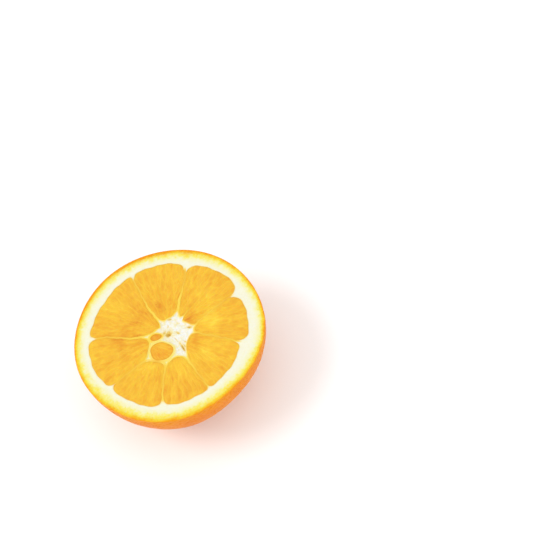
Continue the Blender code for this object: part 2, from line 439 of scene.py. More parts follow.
def make_mesh(name, verts, tris, fields=None, smooth=True, sharp=50.0):
    """An object from vertices in mm and triangles; fields are float attributes."""
    verts = np.asarray(verts, float)
    tris = np.asarray(tris, np.int32)
    a, b, c = (verts[tris[:, k]] for k in range(3))
    if np.einsum('ij,ij->i', a, np.cross(b, c)).sum() < 0:
        tris = tris[:, ::-1]
    mesh = bpy.data.meshes.new(name)
    shifted = (verts - SHIFT) * MM
    mesh.vertices.add(len(verts))
    mesh.vertices.foreach_set("co", shifted.astype(np.float32).ravel())
    mesh.loops.add(tris.size)
    mesh.loops.foreach_set("vertex_index", tris.ravel())
    mesh.polygons.add(len(tris))
    mesh.polygons.foreach_set("loop_start", np.arange(0, tris.size, 3, dtype=np.int32))
    mesh.update(calc_edges=True)
    mesh.validate()
    for key, values in (fields or {}).items():
        attribute = mesh.attributes.new(key, 'FLOAT', 'POINT')
        attribute.data.foreach_set("value", np.asarray(values, np.float32))
    if smooth:
        mesh.shade_smooth()
        mesh.set_sharp_from_angle(angle=math.radians(sharp))
    obj = bpy.data.objects.new(name, mesh)
    bpy.context.scene.collection.objects.link(obj)
    return obj


mx, my = rim_middle()
SHIFT = np.array([mx, my, 0.0])


# ------------------------------------------------------------ cut-face relief
def face_relief(p):
    """Faint unevenness that the knife leaves on the peel's cut edge, in mm."""
    return 0.035 * layered_noise(p, 3.5, 3, 11) + 0.018 * layered_noise(p, 0.7, 2, 12)


def scatter(count_try, spacing, sample, seed):
    """Dart throwing in space: sample(rng, n) gives points, kept if spaced."""
    rng = np.random.default_rng(seed)
    pts = sample(rng, count_try)
    cell = spacing
    grid, kept = {}, []
    for p in pts:
        k = tuple(np.floor(p / cell).astype(int))
        clash = False
        for dx in (-1, 0, 1):
            for dy in (-1, 0, 1):
                for dz in (-1, 0, 1):
                    for q in grid.get((k[0] + dx, k[1] + dy, k[2] + dz), ()):
                        if (p[0] - q[0]) ** 2 + (p[1] - q[1]) ** 2 + (p[2] - q[2]) ** 2 \
                                < spacing * spacing:
                            clash = True
                            break
                    if clash:
                        break
                if clash:
                    break
            if clash:
                break
        if not clash:
            grid.setdefault(k, []).append(tuple(p))
            kept.append(p)
    return np.array(kept)


# --------------------------------------------------------------------- rind
def peel_point(a, z, inset=0.0):
    """Point of the peel for an angle and unit height z in -1..0, set in by inset."""
    s = np.sqrt(np.maximum(1.0 - z * z, 0.0))
    below = np.maximum(-z, 0.0)
    lump = LUMP * s * below * (np.sin(3.0 * a + 4.0 * z + 0.7)
                               + 0.8 * np.sin(5.0 * a - 5.0 * z + 2.1)
                               + 0.5 * np.sin(8.0 * a + 7.0 * z + 4.0))
    r = rim_radius(a) * s + lump - inset * s
    return np.column_stack([r * np.cos(a), r * np.sin(a),
                            DEPTH * (1.0 + z) - FOOT_TRIM + inset * (-z)])


def gland_points():
    """Oil glands over the peel: large ones, with small ones filling the gaps."""
    def sample(rng, n):
        a = rng.uniform(0, TAU, n)
        z = -rng.uniform(0.0, 1.0, n)
        return peel_point(a, z)
    large = scatter(26000, 1.45, sample, 5)

    def sample_small(rng, n):
        pts = sample(rng, n)
        tree = KDTree(len(large))
        for i, p in enumerate(large):
            tree.insert(p, i)
        tree.balance()
        far = np.array([tree.find(p)[2] > 0.95 for p in pts])
        return pts[far]
    small = scatter(26000, 0.80, sample_small, 6)
    return large, small


def build_rind():
    spacing = 0.37
    # heights of the rings from the foot to the cut, by arc length
    t = np.linspace(0.0, 1.0, 4000)
    zz = -np.cos(t * math.pi / 2)
    s = np.sqrt(1 - zz * zz)
    prof = np.column_stack([RIM_RADIUS * s, DEPTH * (1 + zz)])
    run = np.concatenate([[0.0], np.cumsum(np.hypot(*np.diff(prof, axis=0).T))])
    at, places = 1.2, []
    while at < run[-1] - 0.25:
        places.append(at)
        coarse = 1.0 + 0.55 * (1.0 - float(smooth_step(12.0, 24.0, np.array(at))))
        at += spacing * 0.866 * coarse
    places.append(run[-1])
    rings, fields_outer = [], []
    rng = np.random.default_rng(3)
    for place in places:
        z = float(np.interp(place, run, zz))
        coarse = 1.0 + 0.55 * (1.0 - float(smooth_step(12.0, 24.0, np.array(place))))
        r = RIM_RADIUS * math.sqrt(max(1 - z * z, 0.0))
        n = max(18, int(round(TAU * r / (spacing * coarse))))
        if place == places[-1]:
            n = RIM_COUNT
            phase = 0.0
        else:
            phase = rng.uniform(0.0, 1.0) / n
        u = (np.arange(n) / n + phase)
        a = u * TAU
        rings.append((peel_point(a, np.full(n, z)), u, z))
    outer = np.vstack([r[0] for r in rings])
    zed = np.concatenate([np.full(len(r[0]), r[2]) for r in rings])
    # outward direction of the ball
    ang = np.arctan2(outer[:, 1], outer[:, 0])
    sn = np.sqrt(1 - zed ** 2)
    nrm = np.column_stack([np.cos(ang) * sn / RIM_RADIUS, np.sin(ang) * sn / RIM_RADIUS,
                           zed / DEPTH])
    nrm /= np.linalg.norm(nrm, axis=1)[:, None]
    # dimples over the oil glands
    large, small = gland_points()
    glands = np.vstack([large, small])
    grng = np.random.default_rng(8)
    deep = np.concatenate([grng.uniform(0.13, 0.26, len(large)),
                           grng.uniform(0.06, 0.13, len(small))])
    wide = np.concatenate([grng.uniform(0.38, 0.56, len(large)),
                           grng.uniform(0.26, 0.36, len(small))])
    tree = KDTree(len(glands))
    for i, p in enumerate(glands):
        tree.insert(p, i)
    tree.balance()
    dimple = np.zeros(len(outer))
    for i, p in enumerate(outer):
        total = 0.0
        for _, j, d in tree.find_n(p, 3):
            total += deep[j] * math.exp(-(d / wide[j]) ** 2)
        dimple[i] = total
    swell = 0.10 * layered_noise(outer, 9.0, 2, 21) + 0.055 * layered_noise(outer, 3.2, 2, 22)
    rim_fade = 1.0 - 0.75 * smooth_step(-0.035, 0.0, zed)
    lift = (swell - dimple) * rim_fade - 0.10
    outer = outer + nrm * lift[:, None]
    # the foot: a flat spot, and nothing below it
    low = outer[:, 2] < 0.0
    outer[low, 2] = 0.0 + np.minimum(dimple[low] * 0.6, 0.08)
    # groove round the stem button
    rr = np.hypot(outer[:, 0], outer[:, 1])
    mid = BUTTON_RADIUS + 0.5 * GROOVE_WIDTH
    groove = 0.62 * np.exp(-((rr - mid) / 0.62) ** 2) + 0.35 * smooth_step(2.4, 1.9, rr)
    ribs = 0.20 * np.exp(-((rr - 5.2) / 2.4) ** 2) * (0.5 + 0.5 * np.cos(ang * 9.0 + 0.6))
    foot_zone = zed < -0.93
    outer[foot_zone, 2] += (groove + np.where(rr > mid, ribs * 0.6, 0.0))[foot_zone]
    outer[:, 2] = np.maximum(outer[:, 2], 0.0)
    outer[-RIM_COUNT:, 2] -= 0.13          # the cut's outer edge is a little round
    verts, tris, start = [outer], [], 0
    numbers, turns = [], []
    for pts, u, _ in rings:
        numbers.append(np.arange(start, start + len(pts)))
        turns.append(u)
        start += len(pts)
    # the dimples' depth, which the peel's colour also uses to paint shade into the pits
    dimple_field = [dimple * rim_fade]
    depth_field = [np.zeros(len(outer))]
    up_field = [np.zeros(len(outer))]
    height_field = [1.0 + zed]
    gland_field = [np.zeros(len(outer))]
    # the cut edge of the peel, from the rim inwards, then down inside to the pole
    rim_u = np.arange(RIM_COUNT) / RIM_COUNT
    rim_a = rim_u * TAU
    cut_steps = (0.06, 0.16, 0.30, 0.46, 0.62, 0.80, 0.98, 1.16, 1.34, FLAVEDO)
    for depth in cut_steps:
        r = rim_radius(rim_a) - 0.10 - depth
        p = np.column_stack([r * np.cos(rim_a), r * np.sin(rim_a)])
        z = FACE + face_relief(p) * smooth_step(0.0, 0.4, np.full(len(p), depth))
        gland = cut_glands(p)
        z = z - 0.12 * (1.0 - min(depth / 0.25, 1.0)) ** 2 - gland * 0.06
        verts.append(np.column_stack([p, z]))
        numbers.append(np.arange(start, start + len(p)))
        turns.append(rim_u)
        start += len(p)
        dimple_field.append(np.zeros(len(p)))
        depth_field.append(np.full(len(p), depth))
        up_field.append(np.ones(len(p)))
        height_field.append(np.ones(len(p)))
        gland_field.append(gland)
    inner_count = 180
    for k, z in enumerate(np.concatenate([[-0.004, -0.03], -np.sin(np.linspace(0.08, 1.5, 14))])):
        n = inner_count if z > -0.8 else 60
        u = np.arange(n) / n
        inset = FLAVEDO + 0.12
        if z > -0.5 / DEPTH * 2:
            r = rim_radius(u * TAU) - inset - 0.02
            pts = np.column_stack([r * np.cos(u * TAU), r * np.sin(u * TAU),
                                   np.full(n, FACE - (0.12 if k == 0 else 1.2))])
        else:
            pts = peel_point(u * TAU, np.full(n, z), inset)
        verts.append(pts)
        numbers.append(np.arange(start, start + n))
        turns.append(u)
        start += n
        dimple_field.append(np.zeros(n))
        depth_field.append(np.full(n, 3.0))
        up_field.append(np.zeros(n))
        height_field.append(np.full(n, 1.0 + z))
        gland_field.append(np.zeros(n))
    for k in range(len(numbers) - 1):
        tris += zip_rings(numbers[k], numbers[k + 1], turns[k], turns[k + 1])
    # close both poles
    foot = np.array([[0.0, 0.0, 0.0]])
    inner_pole = np.array([[0.0, 0.0, FLAVEDO + 0.12 - FOOT_TRIM + 0.1]])
    verts += [foot, inner_pole]
    first, last = numbers[0], numbers[-1]
    n0 = len(first)
    tris += [(first[(i + 1) % n0], first[i], start) for i in range(n0)]
    n1 = len(last)
    tris += [(last[i], last[(i + 1) % n1], start + 1) for i in range(n1)]
    for f in (dimple_field, depth_field, up_field, height_field, gland_field):
        f.append(np.zeros(2))
    verts = np.vstack(verts)
    obj = make_mesh("rind", verts, tris,
                    {"dimple": np.concatenate(dimple_field) / 0.18,
                     "layer": layer_at(verts, np.concatenate(depth_field)),
                     "cut_up": np.concatenate(up_field),
                     "gland": np.concatenate(gland_field),
                     "height": np.concatenate(height_field)}, sharp=48.0)
    return obj


def layer_at(p, depth):
    """Depth in the peel's layers, in mm. The white comes nearer the outside on two
    sides and stays creamy on a third; the orange skin is thicker on a fourth."""
    a = np.degrees(np.arctan2(p[:, 1], p[:, 0]))

    def toward(middle, width):
        return np.exp(-(((a - middle + 180.0) % 360.0 - 180.0) / width) ** 2)
    skin = -0.75 * toward(105.0, 60.0) * (1.0 - smooth_step(1.2, 3.0, depth)) \
        + 0.22 * toward(-157.0, 28.0) * (1.0 - smooth_step(1.0, 2.2, depth))
    white = 1.15 * toward(-23.0, 42.0) + 0.80 * toward(165.0, 34.0) \
        - 0.25 * toward(-125.0, 35.0) - 0.40 * toward(62.0, 26.0) + 0.30 * toward(118.0, 28.0)
    cream = -0.60 * toward(-157.0, 24.0) * smooth_step(2.6, 4.2, depth)
    return depth + skin + cream + smooth_step(0.2, 1.9, depth) * (white - 0.20)


_cut_glands = {}


def cut_glands(p):
    """Nearness, 0..1, to the oil glands that the knife cut through."""
    if not _cut_glands:
        rng = np.random.default_rng(31)
        pts, a = [], 0.0
        while a < TAU:
            depth = rng.uniform(0.50, 1.00)
            r = rim_radius(np.array([a]))[0] - 0.10 - depth
            pts.append((r * math.cos(a), r * math.sin(a), rng.uniform(0.18, 0.34)))
            a += rng.uniform(0.85, 1.65) / RIM_RADIUS
        _cut_glands["at"] = np.array(pts)
        tree = KDTree(len(pts))
        for i, q in enumerate(pts):
            tree.insert((q[0], q[1], 0.0), i)
        tree.balance()
        _cut_glands["tree"] = tree
    at, tree = _cut_glands["at"], _cut_glands["tree"]
    near = np.zeros(len(p))
    for k, q in enumerate(p):
        _, j, d = tree.find((q[0], q[1], 0.0))
        near[k] = math.exp(-(d / at[j][2]) ** 2.0)
    return near


RIM_COUNT = 1040


# --------------------------------------------------------------------- pith
def wall_state(p):
    """(distance from the nearest wall's middle line, how clearly that wall shows,
    half its thickness there)."""
    near = np.full(len(p), 99.0)
    show = np.ones(len(p))
    half = np.full(len(p), WALL_HALF)
    for i in range(len(WALLS)):
        across, along = side_of_wall(p, i)
        inside = (along > -0.12) & (along < 1.05)
        gap = np.where(inside, np.abs(across), 99.0)
        here = np.interp(along, (0.05, 0.35, 0.68, 0.93, 1.0), (*WALL_SHOW[i], 1.0))
        show = np.where(gap < near, here, show)
        half = np.where(gap < near, wall_half(i, along), half)
        near = np.minimum(near, gap)
    gap = sliver_gap(p)
    t = np.hypot(*p.T)
    here = np.interp(t, (11.0, 15.5), (0.8, 0.25))
    show = np.where(gap < near, here, show)
    half = np.where(gap < near, 0.2, half)
    return np.minimum(near, gap), show, half


def stain_at(p):
    """(stain, dent in mm) of the core's brown pits and cracks."""
    stain, dent = np.zeros(len(p)), np.zeros(len(p))
    wob = 0.35 * layered_noise(p, 1.1, 2, 71)
    for x, y, ra, rb, turn, deep, dark in PITS:
        q = p - np.array([x, y])
        c, s = math.cos(math.radians(-turn)), math.sin(math.radians(-turn))
        u, v = (c * q[:, 0] - s * q[:, 1]) / ra, (s * q[:, 0] + c * q[:, 1]) / rb
        k = np.sqrt(u * u + v * v) + wob
        fall = np.exp(-np.maximum(k, 0.0) ** 2 * 1.3)
        stain = np.maximum(stain, fall * dark)
        dent = np.maximum(dent, deep * np.exp(-np.maximum(k, 0.0) ** 2 * 1.8))
    return stain, dent


def pith_height(p, gap):
    """Height of pith, walls and core, with the core's weight; gap to the pulp."""
    radius = np.hypot(*p.T)
    core = smooth_step(17.5, 14.0, radius)
    relief = face_relief(p)
    lip = 0.05 * np.exp(-((gap - 0.15) / 0.3) ** 2)
    near, show, half = wall_state(p)
    wall = smooth_step(half + 0.35, half + 0.05, near) * (1.0 - core) \
        * smooth_step(33.6, 31.0, radius)
    wall_z = show * (0.02 + 0.06 * smooth_step(0.0, 0.2, gap)) + (1.0 - show) * 0.15
    stain, dent = stain_at(p)
    spongy = 0.17 * layered_noise(p, 2.2, 2, 41) + 0.09 * layered_noise(p, 0.75, 2, 42)
    cells = np.abs(lattice_noise(p / 1.0, 43))
    spongy = spongy - 0.16 * np.exp(-(cells / 0.10) ** 2)
    sunk = smooth_step(0.25, 1.5, gap)
    core_z = 0.05 - 0.50 * sunk + spongy * (0.25 + 0.75 * sunk) - dent * smooth_step(0.0, 0.6, gap)
    z = relief + lip * (1.0 - wall)
    z = z * (1.0 - wall) + (wall_z + 0.4 * relief) * wall
    z = z * (1.0 - core) + core_z * core
    depth = rim_radius(np.arctan2(p[:, 1], p[:, 0])) - 0.10 - radius
    z = z - 0.03 * smooth_step(FLAVEDO + 0.10, FLAVEDO - 0.05, depth)
    return FACE + z, core, wall, show, stain


def build_pith():
    outer_count = 900
    a = np.arange(outer_count) / outer_count * TAU
    edge = rim_radius(a) - 0.10 - FLAVEDO + TUCK
    loops = [np.column_stack([edge * np.cos(a), edge * np.sin(a)])]
    level = 0.05
    pockets = []
    for i in range(len(SEGMENTS)):
        f = lambda q, i=i: segment_depth(q, i) - level
        pockets += [settle(resample(l, 0.20), f) for l in big_loops(f, i)]
    for i in range(len(NAVEL)):
        f = lambda q, i=i: navel_depth(q, i) - level
        x, y, ra, rb, _ = NAVEL[i]
        r = max(ra, rb) + 1.0
        pockets += [settle(resample(l, 0.16), f)
                    for l in loops_of(f, (x - r, y - r), (x + r, y + r), 0.1)]
    loops += pockets

    coarse = hex_grid((-41, -41), (41, 41), 0.30, 51)
    fine = hex_grid((-36, -36), (36, 36), 0.135, 52)
    rc = np.hypot(*coarse.T)
    ac = np.arctan2(coarse[:, 1], coarse[:, 0])
    room = rim_radius(ac) - 0.10 - FLAVEDO + TUCK - rc
    pd = pulp_depth(coarse)
    near_c = wall_state(coarse)[0]
    fine_zone_c = ((near_c < 0.60) & (rc < 34.0)) | (rc < 15.0)
    coarse = coarse[(room > 0.17) & (pd < -0.10) & ~fine_zone_c]
    rf = np.hypot(*fine.T)
    near_f = wall_state(fine)[0]
    fine = fine[((near_f < 0.60) & (rf < 34.0)) | (rf < 15.0)]
    pf = pulp_depth(fine)
    fine = fine[pf < -0.02]
    inner = np.vstack([coarse, fine])

    def keep(c):
        a = np.arctan2(c[:, 1], c[:, 0])
        return (pulp_depth(c) < level) & (np.hypot(*c.T) < rim_radius(a) - 0.10 - FLAVEDO + TUCK + 1e-3)
    flat, tris = triangulate(loops, inner, keep)
    used = np.unique(tris)
    renum = np.full(len(flat), -1)
    renum[used] = np.arange(len(used))
    flat, tris = flat[used], renum[tris]
    gap = -pulp_depth(flat)
    z, core, wall, show, stain = pith_height(flat, gap)
    angle = np.arctan2(flat[:, 1], flat[:, 0])
    depth = rim_radius(angle) - 0.10 - np.hypot(*flat.T)
    verts = [np.column_stack([flat, z])]
    faces = tris.tolist()
    start = len(flat)
    white = core_white(flat) * core
    veil = np.exp(-((flat[:, 0] - VEILED[0]) ** 2 + (flat[:, 1] - VEILED[1]) ** 2)
                  / VEILED[2] ** 2)
    show, gap = show * (1.0 - veil), gap * (1.0 - 0.85 * veil)
    field_rows = [np.column_stack([gap, depth, core, wall, show, stain, white, patch_at(flat)])]
    for loop in boundary_loops(tris):
        pts = flat[loop]
        if np.hypot(*pts.T).min() > 36.5:
            # outside of the bowl, down to its pole
            u = (np.arctan2(pts[:, 1], pts[:, 0]) / TAU) % 1.0
            order = np.argsort(u)
            ring, turn = np.array(loop)[order], u[order]
            for zz in np.concatenate([[-0.012], -np.sin(np.linspace(0.07, 1.5, 14))]):
                n = 180 if zz > -0.8 else 60
                v = np.arange(n) / n
                p3 = peel_point(v * TAU, np.full(n, zz), FLAVEDO + 0.35)
                verts.append(p3)
                field_rows.append(np.tile([2.0, 3.5, 0, 0, 1, 0, 0, 0], (n, 1)))
                nums = np.arange(start, start + n)
                start += n
                faces += zip_rings(ring, nums, turn, v)
                ring, turn = nums, v
            verts.append(np.array([[0.0, 0.0, FLAVEDO + 0.35 - FOOT_TRIM + 0.15]]))
            field_rows.append(np.array([[2.0, 3.5, 0, 0, 1, 0, 0, 0]]))
            faces += [(ring[i], ring[(i + 1) % len(ring)], start) for i in range(len(ring))]
            start += 1
        else:
            n = len(loop)
            low = np.arange(start, start + n)
            verts.append(np.column_stack([pts, np.full(n, FACE - POCKET)]))
            field_rows.append(np.tile([0.1, 8.0, 0, 0, 1, 0, 0, 0], (n, 1)))
            for i in range(n):
                j = (i + 1) % n
                faces += [(loop[i], low[i], loop[j]), (loop[j], low[i], low[j])]
            # the loop runs with its triangles, so the hole's own inside is on its right
            poly = pts[::-1]
            fv, ft = triangulate([poly], np.zeros((0, 2)), lambda c: inside_loop(c, poly))
            back = match_rows(fv, pts)
            faces += [tuple(int(low[back[k]]) for k in t) for t in ft]
            start += n
    rows, verts = np.vstack(field_rows), np.vstack(verts)
    return make_mesh("pith", verts, faces,
                     {"gap": rows[:, 0], "layer": layer_at(verts, rows[:, 1]),
                      "core": rows[:, 2], "wall": rows[:, 3], "show": rows[:, 4],
                      "stain": rows[:, 5], "white": rows[:, 6], "patch": rows[:, 7],
                      "collar": collar_at(verts[:, :2])},
                     sharp=60.0)


def core_white(p):
    """Weight of the core's white middle; round it the tissue is yellowish."""
    q = ((p[:, 0] - 3.0) / 7.3) ** 2 + ((p[:, 1] + 1.2) / 11.2) ** 2
    q = q + 0.22 * layered_noise(p, 3.0, 2, 61)
    return smooth_step(1.22, 0.80, q)


def collar_at(p):
    """Nearness, 0..1, to the pale skin round the larger small segment."""
    x, y, ra, rb, turn = NAVEL[0]
    out = np.hypot(p[:, 0] - x, p[:, 1] - y) - 0.5 * (ra + rb)
    veil = np.exp(-((p[:, 0] - VEILED[0]) ** 2 + (p[:, 1] - VEILED[1]) ** 2) / VEILED[2] ** 2)
    return smooth_step(2.2, 1.0, out) * (1.0 - veil)


def inside_loop(points, loop):
    """Even-odd test of points against a closed loop."""
    x, y = points[:, 0][:, None], points[:, 1][:, None]
    ax, ay = loop[:, 0][None], loop[:, 1][None]
    bx, by = np.roll(loop[:, 0], -1)[None], np.roll(loop[:, 1], -1)[None]
    cross = (ay > y) != (by > y)
    with np.errstate(divide='ignore', invalid='ignore'):
        at = (bx - ax) * (y - ay) / (by - ay) + ax
    return (np.sum(cross & (x < at), axis=1) % 2) == 1


def match_rows(points, among):
    """Number in among of the point nearest each of points."""
    tree = KDTree(len(among))
    for i, p in enumerate(among):
        tree.insert((p[0], p[1], 0.0), i)
    tree.balance()
    return [tree.find((p[0], p[1], 0.0))[1] for p in points]


def segment_box(index):
    """A box round a segment, for its outline's grid."""
    wall_a, wall_b = WALLS[index], WALLS[(index + 1) % len(WALLS)]
    span = (wall_a[3] - wall_b[3]) % 360.0
    a = np.radians(wall_b[3] + np.linspace(-0.05, 1.05, 30) * span)
    far = np.column_stack([37.5 * np.cos(a), 37.5 * np.sin(a)])
    near = np.column_stack([6.0 * np.cos(a), 6.0 * np.sin(a)])
    both = np.vstack([far, near])
    return both.min(0) - 3.0, both.max(0) + 3.0


def big_loops(f, index):
    low, high = segment_box(index)
    found = loops_of(f, low, high, 0.10)
    return [l for l in found if len(l) > 150]


# ----------------------------------------------------------------- segments
POCKET = 6.0


def juice_cells(s, a, width, length, seed, gap=0.80):
    """Long juice sacs in (distance, angle) round a focus. Returns, for each point,
    its sac's number, how near the sac's middle it is, and mm to the sac's edge."""
    rng = np.random.default_rng(seed)
    s0, s1, a0, a1 = s.min(), s.max(), a.min(), a.max()
    n_try = int(60 * (s1 - s0 + length) / length * ((a1 - a0) * s1 + width) / width)
    cs = np.sqrt(rng.uniform(max(s0 - length * 0.4, 0.2) ** 2, (s1 + length * 0.4) ** 2, n_try))
    ca = rng.uniform(a0 - 0.05, a1 + 0.05, n_try)
    kept_s, kept_a = np.empty(0), np.empty(0)
    for x, y in zip(cs, ca):
        if len(kept_s):
            w = width * (0.55 + 0.45 * min(x / 20.0, 1.3))
            d = ((x - kept_s) / length) ** 2 + ((y - kept_a) * 0.5 * (x + kept_s) / w) ** 2
            if d.min() < gap * gap:
                continue
        kept_s, kept_a = np.append(kept_s, x), np.append(kept_a, y)
    w = width * (0.55 + 0.45 * np.minimum(kept_s / 20.0, 1.3)) * rng.uniform(0.8, 1.2, len(kept_s))
    best = np.full(len(s), 1e9)
    second = np.full(len(s), 1e9)
    which = np.zeros(len(s), int)
    for j in range(len(kept_s)):
        d = ((s - kept_s[j]) / length) ** 2 \
            + ((a - kept_a[j]) * 0.5 * (s + kept_s[j]) / w[j]) ** 2
        closer = d < best
        second = np.where(closer, best, np.minimum(second, d))
        which = np.where(closer, j, which)
        best = np.where(closer, d, best)
    f1, f2 = np.sqrt(best), np.sqrt(second)
    return which, f1, (f2 - f1) * w[which] * 0.5


def pulp_surface(p, depth, keen, focus, seed, scale=1.0):
    """Height above the face plane and colour fields of the cut juice sacs. Where keen
    is 0 the pulp runs on level to its edge, as it does beside a wall that is hidden."""
    warp = np.column_stack([layered_noise(p, 6.0, 2, seed + 1), layered_noise(p, 6.0, 2, seed + 2)])
    q = p + warp * 0.95 * scale - focus
    s = np.hypot(*q.T)
    mean = np.array([q[:, 0].mean(), q[:, 1].mean()])
    base = math.atan2(mean[1], mean[0])
    a = (np.arctan2(q[:, 1], q[:, 0]) - base + math.pi) % TAU - math.pi
    which, f1, edge = juice_cells(s, a, 1.60 * scale, 7.5 * scale, seed)
    which2, g1, edge2 = juice_cells(s, a, 0.62 * scale, 3.6 * scale, seed + 5)
    rng = np.random.default_rng(seed + 9)
    tint = rng.uniform(0.0, 1.0, int(which.max()) + 1)[which]
    tint2 = rng.uniform(0.0, 1.0, int(which2.max()) + 1)[which2]
    level = rng.normal(0.0, 0.022, int(which.max()) + 1)[which]
    level2 = rng.normal(0.0, 0.010, int(which2.max()) + 1)[which2]
    seam = np.exp(-(edge / 0.19) ** 2)
    seam2 = np.exp(-(edge2 / 0.10) ** 2)
    inside = np.maximum(depth, 0.0)
    crown = 0.21 * (1.0 - keen * np.exp(-(inside / 0.70) ** 1.25))
    fade = smooth_step(0.0, 0.9, inside)
    streak = layered_noise(np.column_stack([s / 7.0, a * 22.0 / 1.3]), 1.0, 2, seed + 3)
    hair = layered_noise(np.column_stack([s / 4.5, a * 22.0 / 0.6]), 1.0, 2, seed + 8)
    z = -0.055 + crown + fade * (
        0.045 * layered_noise(p, 7.0, 2, seed + 4)
        + 0.085 * (1.0 - (f1 / 0.75) ** 2) + level - 0.075 * seam
        + 0.014 * (1.0 - (g1 / 0.75) ** 2) + level2 - 0.018 * seam2
        + 0.014 * streak)
    flecks = smooth_step(0.22, 0.42, layered_noise(p, 1.5, 2, seed + 7)) \
        * smooth_step(27.0, 11.0, np.hypot(*p.T))
    busy = 1.0 if scale == 1.0 else 1.8
    tone = 0.47 + busy * (0.155 * (tint - 0.5) + 0.065 * (tint2 - 0.5) + 0.10 * streak
                          + 0.08 * hair + 0.15 * layered_noise(p, 3.2 * scale, 2, seed + 6)) \
        + 0.09 * np.minimum(f1 / 0.75, 1.3) ** 2 + 0.10 * seam - 0.03 * seam2 - 0.15 * flecks
    return np.minimum(z, CROWN - 0.02), {
        "tone": tone, "seam": seam, "gap": inside, "keen": keen}


def patch_at(p):
    """Soft lighter and deeper places of the pulp, -1..1."""
    total = np.zeros(len(p))
    wob = 1.0 + 0.45 * layered_noise(p, 5.0, 2, 91)
    for x, y, r, amount in PATCHES:
        d = np.hypot(p[:, 0] - x, p[:, 1] - y) * wob
        total += amount * np.exp(-(d / r) ** 2)
    return np.clip(total, -1.0, 1.0)


def build_pulp(name, f, loops, focus, seed, spacing, scale=1.0, drop=POCKET):
    loop = settle(resample(max(loops, key=len), spacing), f, -0.03)
    low, high = loop.min(0), loop.max(0)
    inner = hex_grid(low, high, spacing, seed)
    inner = inner[f(inner) > -0.03 + 0.55 * spacing]
    flat, tris = triangulate([loop], inner, lambda c: inside_loop(c, loop))
    used = np.unique(tris)
    renum = np.full(len(flat), -1)
    renum[used] = np.arange(len(used))
    flat, tris = flat[used], renum[tris]
    depth = f(flat)
    near, show, half = wall_state(flat)
    hidden = (1.0 - show) * smooth_step(half + 0.6, half + 0.2, near - depth) * (scale == 1.0)
    lift, fields = pulp_surface(flat, depth, 1.0 - hidden, np.asarray(focus), seed, scale)
    fields["patch"] = patch_at(flat)
    fields["deep"] = np.full(len(flat), {1.0: 0.0, 0.55: 0.9}.get(scale, 1.5))
    verts = [np.column_stack([flat, FACE + lift])]
    faces = tris.tolist()
    start = len(flat)
    (edge,) = boundary_loops(tris)
    pts = flat[edge]
    n = len(edge)
    ring = list(edge)
    rows = {k: [v] for k, v in fields.items()}
    inset = settle(pts, f, 0.08)
    for height in (FACE - 0.40, FACE - drop + 0.05):
        low_ring = np.arange(start, start + n)
        verts.append(np.column_stack([inset, np.full(n, height)]))
        for k in rows:
            rows[k].append(fields[k][edge])
        for i in range(n):
            j = (i + 1) % n
            faces += [(ring[i], low_ring[i], ring[j]), (ring[j], low_ring[i], low_ring[j])]
        ring = low_ring.tolist()
        start += n
    fv, ft = triangulate([inset], np.zeros((0, 2)), lambda c: inside_loop(c, inset))
    back = match_rows(fv, inset)
    faces += [tuple(ring[back[k]] for k in t)[::-1] for t in ft]
    return make_mesh(name, np.vstack(verts), faces,
                     {k: np.concatenate(v) for k, v in rows.items()}, sharp=60.0)


def build_button():
    """The stem button on the underside: a dry five-lobed star in its groove."""
    count, rows = 90, []
    u = np.arange(count) / count
    a = u * TAU
    star = 1.0 + 0.10 * np.cos(5.0 * a + 0.4) + 0.03 * np.cos(10.0 * a)
    for k, (r, z) in enumerate(((0.25, 0.22), (0.6, 0.14), (0.95, 0.05), (1.4, 0.02), (1.8, 0.05),
                                (2.1, 0.03), (2.35, 0.10), (2.48, 0.28), (2.42, 0.60),
                                (1.6, 1.10), (0.6, 1.15))):
        wave = 0.035 * np.sin(5.0 * a + 1.1) * (r > 0.5) + 0.02 * np.sin(13.0 * a + k)
        reach = r * (1.0 + (star - 1.0) * min(r / 2.0, 1.0))
        rows.append(np.column_stack([reach * np.cos(a), reach * np.sin(a),
                                     np.maximum(z + wave, 0.0)]))
    verts = np.vstack(rows + [np.array([[0, 0, 0.26], [0, 0, 1.15]])])
    faces = []
    nums = [np.arange(k * count, (k + 1) * count) for k in range(len(rows))]
    for k in range(len(rows) - 1):
        faces += zip_rings(nums[k], nums[k + 1], u, u)
    low, high = len(rows) * count, len(rows) * count + 1
    faces += [(nums[0][(i + 1) % count], nums[0][i], low) for i in range(count)]
    faces += [(nums[-1][i], nums[-1][(i + 1) % count], high) for i in range(count)]
    return make_mesh("stem_button", verts, faces, sharp=40.0)


